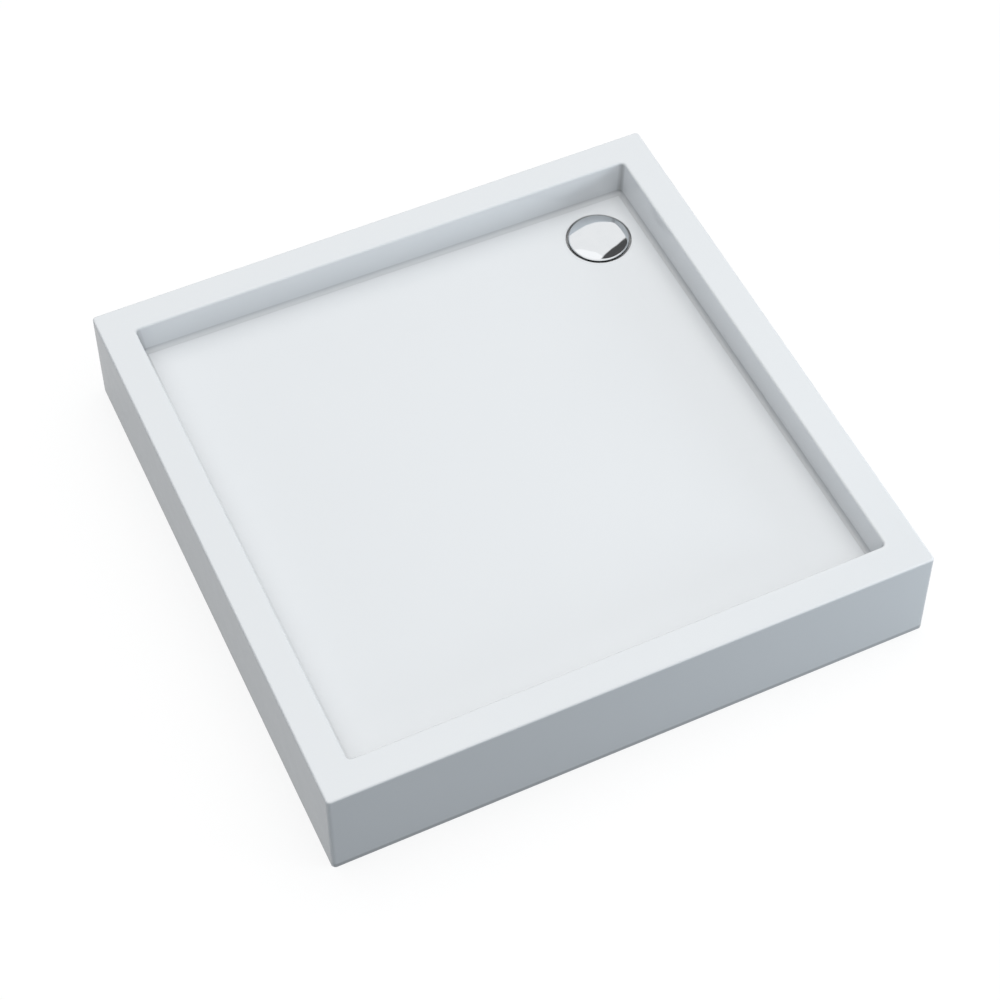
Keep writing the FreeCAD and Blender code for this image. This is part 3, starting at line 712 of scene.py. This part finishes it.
def traySections(inset, low, apronSteps, rimSteps, wallSteps):
    # Sections of the tray's surface, shrunk into the material by inset, from the hem to the bowl's floor.
    top = tray["height"] - inset
    apronGrowth = inset / math.cos(math.radians(tray["apronDraft"]))
    bowlCos = math.cos(math.radians(tray["bowlDraft"]))

    def apronHalf(level):
        return tray["half"] - level * apronSlope - apronGrowth

    def bowlHalf(level):
        return bowlTop - (tray["height"] - level) * bowlSlope + inset / bowlCos

    apronCorner = tray["apronCorner"] - inset
    bowlCorner = tray["bowlCorner"] + inset
    outer = max(tray["apronTop"] - inset, 0.0)
    inner = max(tray["rimInner"] - inset, 0.0)
    sections = []
    apronEnd = top - outer
    for step in range(apronSteps + 1):
        level = low + (apronEnd - low) * step / apronSteps
        if step == 1:
            level = low + tray["support"]
        if step == apronSteps - 1:
            level = apronEnd - tray["support"]
        sections.append((apronHalf(level), apronCorner, level))
    middle = apronHalf(apronEnd) - outer / math.cos(math.radians(tray["apronDraft"]))
    if outer:
        for half, level in arc(middle, apronEnd, outer, tray["apronDraft"], 90.0, tray["apronTopSteps"])[1:]:
            sections.append((half, apronCorner - (apronHalf(apronEnd) - half), level))
    innerMiddle = bowlHalf(top - inner) + inner / bowlCos
    for step in range(1, rimSteps):
        half = middle + (innerMiddle - middle) * step / rimSteps
        if step == 1:
            half = middle - tray["support"]
        if step == rimSteps - 1:
            half = innerMiddle + tray["support"]
        spread = (middle - half) / (middle - innerMiddle)
        corner = apronCorner + (bowlCorner - apronCorner) * spread
        sections.append((half, corner, top))
    innerSteps = tray["rimInnerSteps"] if inner else 0
    for half, level in arc(innerMiddle, top - inner, inner, 90.0, 180.0 - tray["bowlDraft"], innerSteps):
        sections.append((half, bowlCorner + half - bowlHalf(top - inner), level))
    fixed = [lambda x, y, row=row: row for row in sections]
    wallTop = sections[-1][2]
    coveRadius = tray["cove"] + inset

    def coveStart(x, y):
        middleLevel = floorLevel(x, y, inset) + coveRadius
        middleHalf = bowlHalf(middleLevel) - coveRadius / bowlCos
        return middleHalf, middleLevel

    def wallSection(spot):
        def section(x, y):
            end = coveStart(x, y)[1] - coveRadius * math.sin(math.radians(tray["bowlDraft"]))
            lowest = end + tray["support"]
            highest = wallTop - tray["support"]
            level = highest + (lowest - highest) * spot
            return bowlHalf(level), bowlCorner, level
        return section

    def coveSection(angle):
        def section(x, y):
            middleHalf, middleLevel = coveStart(x, y)
            half = middleHalf + coveRadius * math.cos(angle)
            level = middleLevel + coveRadius * math.sin(angle)
            return half, bowlCorner - (bowlHalf(level) - half), level
        return section

    def floorSection(x, y):
        half = coveStart(x, y)[0] - tray["support"]
        return half, tray["leastCorner"], floorLevel(x, y, inset)

    walls = [wallSection(step / wallSteps) for step in range(wallSteps + 1)]
    start = math.radians(-tray["bowlDraft"])
    turn = math.radians(90 - tray["bowlDraft"]) / tray["coveSteps"]
    coves = [coveSection(start - turn * step) for step in range(tray["coveSteps"] + 1)]
    return fixed + walls + coves + [floorSection]


def wasteRings(inset, segments):
    # Rings from the bowl's floor into the waste's seat and in to the edge of its hole.
    seat = tray["seatRadius"] + inset
    edge = max(tray["seatEdge"] - inset, 0.0)
    bottom = seatLevel - inset
    strip = tray["seatStrip"]
    onFloor = [(seat + edge + tray["support"], 0.0)]
    onFloor += arc(seat + edge, -edge, edge, 90, 180, tray["seatEdgeSteps"] if edge else 0)
    inSeat = [(seat, bottom + strip), (seat, bottom), (seat - strip, bottom)]
    inSeat += [(tray["hole"] + strip, bottom), (tray["hole"], bottom)]
    rings = []
    for radius, drop in onFloor:
        spots = circle((wasteAt, wasteAt), radius, segments)
        rings.append([(x, y, floorLevel(x, y, inset) + drop) for x, y in spots])
    for radius, level in inSeat:
        rings.append([(x, y, level) for x, y in circle((wasteAt, wasteAt), radius, segments)])
    return rings


def fillFloor(points, faces, outer, inner):     # flat triangles between the bowl's edge and the seat
    def bearing(index):
        return math.atan2(points[index][1] - wasteAt, points[index][0] - wasteAt)

    outer = sorted(outer, key=bearing)
    inner = sorted(inner, key=bearing)
    outerStep = innerStep = 0
    while outerStep < len(outer) or innerStep < len(inner):
        a = outer[outerStep % len(outer)]
        b = inner[innerStep % len(inner)]
        nextA = outer[(outerStep + 1) % len(outer)]
        nextB = inner[(innerStep + 1) % len(inner)]
        turnA = bearing(nextA) + (2 * math.pi if outerStep + 1 >= len(outer) else 0.0)
        turnB = bearing(nextB) + (2 * math.pi if innerStep + 1 >= len(inner) else 0.0)
        if innerStep >= len(inner) or (outerStep < len(outer) and turnA <= turnB):
            faces.append((a, nextA, b))
            outerStep += 1
        else:
            faces.append((a, nextB, b))
            innerStep += 1


def traySkin(points, faces, inset, low, steps):
    # One side of a layer. Gives the first points of its outermost and innermost rings.
    sections = traySections(inset, low, *steps["rows"])
    count = 4 * (steps["side"] + steps["corner"])
    firsts = []
    for section in sections:
        firsts.append(len(points))
        points.extend(squareRing(section, steps["side"], steps["corner"]))
    for first, second in zip(firsts, firsts[1:]):
        bridge(faces, first, second, count)
    circles = []
    for ring in wasteRings(inset, steps["waste"]):
        circles.append(len(points))
        points.extend(ring)
    for first, second in zip(circles, circles[1:]):
        bridge(faces, first, second, steps["waste"])
    fillFloor(points, faces, list(range(firsts[-1], firsts[-1] + count)),
              list(range(circles[0], circles[0] + steps["waste"])))
    return firsts[0], circles[-1], count


def addLayer(name, near, far, low, steps, material, node, roughen=None):
    points = []
    faces = []
    outerA, innerA, count = traySkin(points, faces, near, low, steps)
    split = len(points)
    outerB, innerB, count = traySkin(points, faces, far, low, steps)
    if roughen:
        points[split:] = [roughen(point) for point in points[split:]]
    bridge(faces, outerA, outerB, count)
    bridge(faces, innerA, innerB, steps["waste"])
    addPiece(name, points, faces, material, "tray", [node])


def sprayed(point):
    # Thins the layer here and there, towards the acrylic, so that the free side is lumpy.
    spot = Vector(point) / lumps["size"]
    amount = 0.5 + 0.5 * noise.noise(spot) + lumps["fineShare"] * noise.noise(spot * lumps["fineSize"])
    shift = lumps["depth"] * min(max(amount, 0.0), 1.0)
    x, y, z = point
    half = max(abs(x), abs(y))
    if z < tray["hem"] + lumps["hemMargin"]:
        return point
    if z > tray["height"] - lumps["topMargin"] or half < bowlTop - lumps["floorMargin"]:
        return (x, y, z + shift)
    onApron = half > bowlTop + tray["rimWidth"] / 2 + lumps["apronMargin"]
    outward = shift if onApron else -shift
    if abs(x) > abs(y):
        return (x + outward * math.copysign(1.0, x), y, z)
    return (x, y + outward * math.copysign(1.0, y), z)


# Waste cover.

cover = {
    "radius": 52.0,
    "thickness": 1.2,
    "crown": 3.0,
    "crownRadius": 1340.0,
    "shoulderStart": 28.0,
    "shoulderRadius": 118.0,
    "edge": 3.0,
    "skirt": 3.0,
    "standOut": 2.7,
    "boss": 8.0,
    "lip": 0.25,               # rolled lower edge of the sheet
    "stem": 4.0,
    "stemLength": 8.0,
    "stemBevel": 0.6,
    "hubDrop": 3.2,            # the boss ends this far under the rim's top
    "ribs": 3,
    "ribThickness": 1.6,
    "ribDrop": 2.2,
    "ribSunk": 0.3,            # how deep a rib's ends go into the dome and the boss
    "segments": 192,
    "crownSteps": 12,
    "shoulderSteps": 16,
    "edgeSteps": 14,
}
coverRimTop = floorLevel(wasteAt, wasteAt) + cover["standOut"]
coverHub = coverRimTop - cover["hubDrop"]


def domeProfile(inset, low):
    # From the middle of the dome, over its shoulder and the rolled rim, down to low.
    crownMiddle = coverRimTop + cover["crown"] - cover["crownRadius"]
    crownEnd = math.asin(cover["shoulderStart"] / cover["crownRadius"])
    apart = cover["crownRadius"] - cover["shoulderRadius"]
    shoulder = (apart * math.sin(crownEnd), crownMiddle + apart * math.cos(crownEnd))
    apart = cover["shoulderRadius"] - cover["edge"]
    reach = cover["radius"] - cover["edge"]
    shoulderEnd = math.asin((reach - shoulder[0]) / apart)
    rim = (reach, shoulder[1] + apart * math.cos(shoulderEnd))
    turns = [90.0, 90.0 - math.degrees(crownEnd), 90.0 - math.degrees(shoulderEnd), 0.0]
    crownArc = arc(0.0, crownMiddle, cover["crownRadius"] - inset, *turns[0:2], cover["crownSteps"])
    shoulderArc = arc(*shoulder, cover["shoulderRadius"] - inset, *turns[1:3], cover["shoulderSteps"])
    rimArc = arc(*rim, cover["edge"] - inset, *turns[2:4], cover["edgeSteps"])
    return crownArc + shoulderArc[1:] + rimArc[1:] + [(cover["radius"] - inset, low)]


def addCover(material):
    low = coverRimTop - cover["skirt"]
    outside = domeProfile(0.0, low)
    inside = domeProfile(cover["thickness"], low)
    inside = [spot for spot in inside if spot[0] > cover["boss"]]
    bossTop = inside[0][1]
    lip = cover["lip"]
    innerWall = cover["radius"] - cover["thickness"]
    outside[-1:] = [(cover["radius"], low + lip), (cover["radius"] - lip, low)]
    inside[-1:] = [(innerWall, low + lip), (innerWall + lip, low)]
    profile = outside + inside[::-1]
    profile += [(cover["boss"], bossTop), (cover["boss"], coverHub), (cover["stem"], coverHub)]
    end = coverHub - cover["stemLength"]
    bevel = cover["stemBevel"]
    profile += [(cover["stem"], end + bevel), (cover["stem"] - bevel, end), (0.0, end)]
    points, faces = lathe(profile, (wasteAt, wasteAt), cover["segments"])
    for number in range(cover["ribs"]):
        addRib(points, faces, 2 * math.pi * number / cover["ribs"], inside)
    addPiece("domed_cover", points, faces, material, "cover", ["waste_cover"])


def addRib(points, faces, angle, ceiling):
    # A stiffening rib under the dome, from the boss out to where the dome comes down to it.
    sunk = cover["ribSunk"]
    low = coverRimTop - cover["ribDrop"]
    line = [(cover["boss"] - sunk, ceiling[0][1] + sunk)]
    line += [(radius, level + sunk) for radius, level in ceiling if level > low]
    first = len(points)
    for side in (-1, 1):
        across = side * cover["ribThickness"] / 2
        for radius, level in line:
            for height in (level, low):
                x = radius * math.cos(angle) - across * math.sin(angle)
                y = radius * math.sin(angle) + across * math.cos(angle)
                points.append((wasteAt + x, wasteAt + y, height))
    span = 2 * len(line)
    for side in (0, span):
        for step in range(len(line) - 1):
            a = first + side + 2 * step
            faces.append((a, a + 1, a + 3, a + 2))
    for step in range(len(line) - 1):
        a = first + 2 * step
        faces.append((a, a + 2, a + 2 + span, a + span))
        faces.append((a + 1, a + 3, a + 3 + span, a + 1 + span))
    for end in (first, first + span - 2):
        faces.append((end, end + 1, end + 1 + span, end + span))


# Levelling feet.

stud = {
    "crest": 6.0,
    "depth": 1.07,
    "pitch": 1.75,
    "flat": 0.12,              # the crest's and the root's flat, as a share of the pitch
    "segments": 32,
    "fade": 1.2,               # length over which the thread runs out at its ends
    "endDepth": 0.6,           # how deep the ends lie, as a share of the thread's depth
    "collar": 8.0,
    "collarLow": 4.0,
    "collarTop": 10.7,
    "collarBevel": 0.5,
    "collarSegments": 64,
    "hexWidth": 10.0,
    "hexTop": 22.0,
    "hexBevel": 0.7,
    "overlap": 0.5,            # the hexagon and the thread each start this far inside what is under them
}

threadRows = 4                 # root, crest, crest and root of each turn
nudge = 0.001                  # keeps a rounded-down row number on its own turn


def threadTree(material):
    # A grid of profile points by angle, rolled up along a helix.
    tree = bpy.data.node_groups.new("stud_thread", "GeometryNodeTree")
    names = ["Crest radius", "Thread depth", "Pitch", "Start", "End", "Run-out", "Segments", "Turns"]
    for name in names:
        kind = "NodeSocketInt" if name in ("Segments", "Turns") else "NodeSocketFloat"
        tree.interface.new_socket(name, in_out="INPUT", socket_type=kind)
    tree.interface.new_socket("Thread", in_out="OUTPUT", socket_type="NodeSocketGeometry")
    graph = Graph(tree)
    given = graph.add("NodeGroupInput")
    crest, depth, pitch, start, end, fade, segments, turns = [given.pick(name) for name in names]
    rows = turns * threadRows
    grid = graph.add("GeometryNodeMeshGrid", None, [rows, segments, rows + 1, segments + 1])
    x, y = graph.split(graph.add("GeometryNodeInputPosition"))[:2]
    row = (x + rows * 0.5 + 0.5).floor()
    column = (y + segments * 0.5 + 0.5).floor()
    step = row % threadRows
    onCrest = (step > 0.5) * (1 - (step > 2.5))
    flat = stud["flat"]
    flank = 0.5 - flat
    along = flat / 2 + step * flank - (step > 1.5) * (flank - flat)
    level = start + pitch * ((row / threadRows + nudge).floor() + along + column / segments - 1.0)
    level = level.most(start).least(end)
    cut = ((level - start) / fade).least((end - level) / fade).least(1.0)
    endRadius = crest - depth * stud["endDepth"]
    radius = endRadius + (crest - depth * (1 - onCrest) - endRadius) * cut
    angle = column / segments * (2 * math.pi)
    across = [radius * angle.cosine(), radius * angle.sine()]
    rolled = graph.add("ShaderNodeCombineXYZ", None, [*across, level])
    shape = graph.add("GeometryNodeSetPosition", None, {"Geometry": grid, "Position": rolled})
    closed = graph.add("GeometryNodeMergeByDistance", None, {"Geometry": shape, "Distance": mergeDistance})
    whole = graph.add("GeometryNodeRealizeInstances", None, [closed])
    coated = graph.add("GeometryNodeSetMaterial", None, {"Geometry": whole, "Material": material})
    graph.add("NodeGroupOutput", None, {"Thread": coated})
    return tree


def grown(tree, values, name):
    # Runs a tree on an empty mesh and gives the result as a plain mesh.
    carrier = bpy.data.objects.new(name, bpy.data.meshes.new(name))
    bpy.context.scene.collection.objects.link(carrier)
    modifier = carrier.modifiers.new("make", "NODES")
    modifier.node_group = tree
    for item in tree.interface.items_tree:
        if item.in_out == "INPUT" and item.name in values:
            modifier[item.identifier] = values[item.name]
    result = carrier.evaluated_get(bpy.context.evaluated_depsgraph_get())
    mesh = bpy.data.meshes.new_from_object(result)
    carrier.modifiers.remove(modifier)
    bpy.data.objects.remove(carrier)
    return mesh


def collarProfile():
    bevel = stud["collarBevel"]
    inner = stud["collar"] - bevel
    low = stud["collarLow"]
    top = stud["collarTop"]
    return [(0.0, low), (inner, low), (inner + bevel, low + bevel),
            (inner + bevel, top - bevel), (inner, top), (0.0, top)]


def hexProfile():
    corner = stud["hexWidth"] / math.sqrt(3)
    inner = corner - stud["hexBevel"]
    low = stud["collarTop"] - stud["overlap"]
    top = stud["hexTop"]
    bevelHeight = stud["hexBevel"] / 2
    return [(inner, low), (corner, low + bevelHeight), (corner, top - bevelHeight), (inner, top)]


def addStud(name, thread, material):
    low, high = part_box("stud_" + name)
    middle = (low + high) / 2
    start = stud["hexTop"] - stud["overlap"]
    end = high.z / mm
    values = {"Crest radius": stud["crest"] * mm, "Thread depth": stud["depth"] * mm,
              "Pitch": stud["pitch"] * mm, "Start": start * mm, "End": end * mm,
              "Run-out": stud["fade"] * mm, "Segments": stud["segments"],
              "Turns": math.ceil((end - start) / stud["pitch"]) + 2}
    mesh = grown(thread, values, "thread_" + name)
    work = bmesh.new()
    work.from_mesh(mesh)
    for profile, segments in [(collarProfile(), stud["collarSegments"]), (hexProfile(), 6)]:
        points, faces = lathe(profile, (0, 0), segments)
        made = [work.verts.new([value * mm for value in point]) for point in points]
        for face in faces:
            work.faces.new([made[index] for index in face])
    work.to_mesh(mesh)
    work.free()
    mesh.transform(Matrix.Translation((middle.x, middle.y, 0)))
    placePiece("threaded_stud_" + name, mesh, material, "stud_" + name, ["stud_" + name])


# The scene.

addCamera()
addWorld()
addLamp()
addFloor()
print("camera, light and floor ready")
wasteCentre = (wasteAt * mm, wasteAt * mm, 0.0)
finishes = {
    "acrylic": whiteAcrylic(),
    "fibreglass": sprayedFibreglass(),
    "chipboard": chipboard(),
    "zinc_steel": zincSteel(),
    "stainless": stainlessSteel(wasteCentre),
    "chrome": mirrorChrome(),
    "black_rubber": blackRubber(),
    "white_pp": mouldedPlastic("white_plastic", (0.74, 0.74, 0.72), (0.80, 0.80, 0.78), 0.34),
    "grey_pp": mouldedPlastic("grey_plastic", (0.33, 0.34, 0.35), (0.38, 0.39, 0.40), 0.36),
    "black_pp": mouldedPlastic("black_plastic", (0.022, 0.022, 0.024), (0.040, 0.040, 0.042), 0.38),
}
print("finishes ready")

for row in frame["record"]["subparts"]:
    for holder in frame["nodes"][row["node"]].material_slots:
        holder.material = finishes[row["material_slot"]]

shellSteps = {"rows": (6, 6, 3), "side": 20, "corner": 10, "waste": 128}
addLayer("tray_skin", 0.0, tray["acrylic"], 0.0, shellSteps, finishes["acrylic"], "tray_shell")
backingSteps = {"rows": (12, 6, 5), "side": 70, "corner": 5, "waste": 96}
addLayer("glass_fibre_layer", tray["acrylic"], tray["acrylic"] + tray["backing"], tray["hem"], backingSteps,
         finishes["fibreglass"], "fibreglass_backing", sprayed)
addCover(finishes["chrome"])
thread = threadTree(finishes["zinc_steel"])
for footName in footNames:
    addStud(footName, thread, finishes["zinc_steel"])
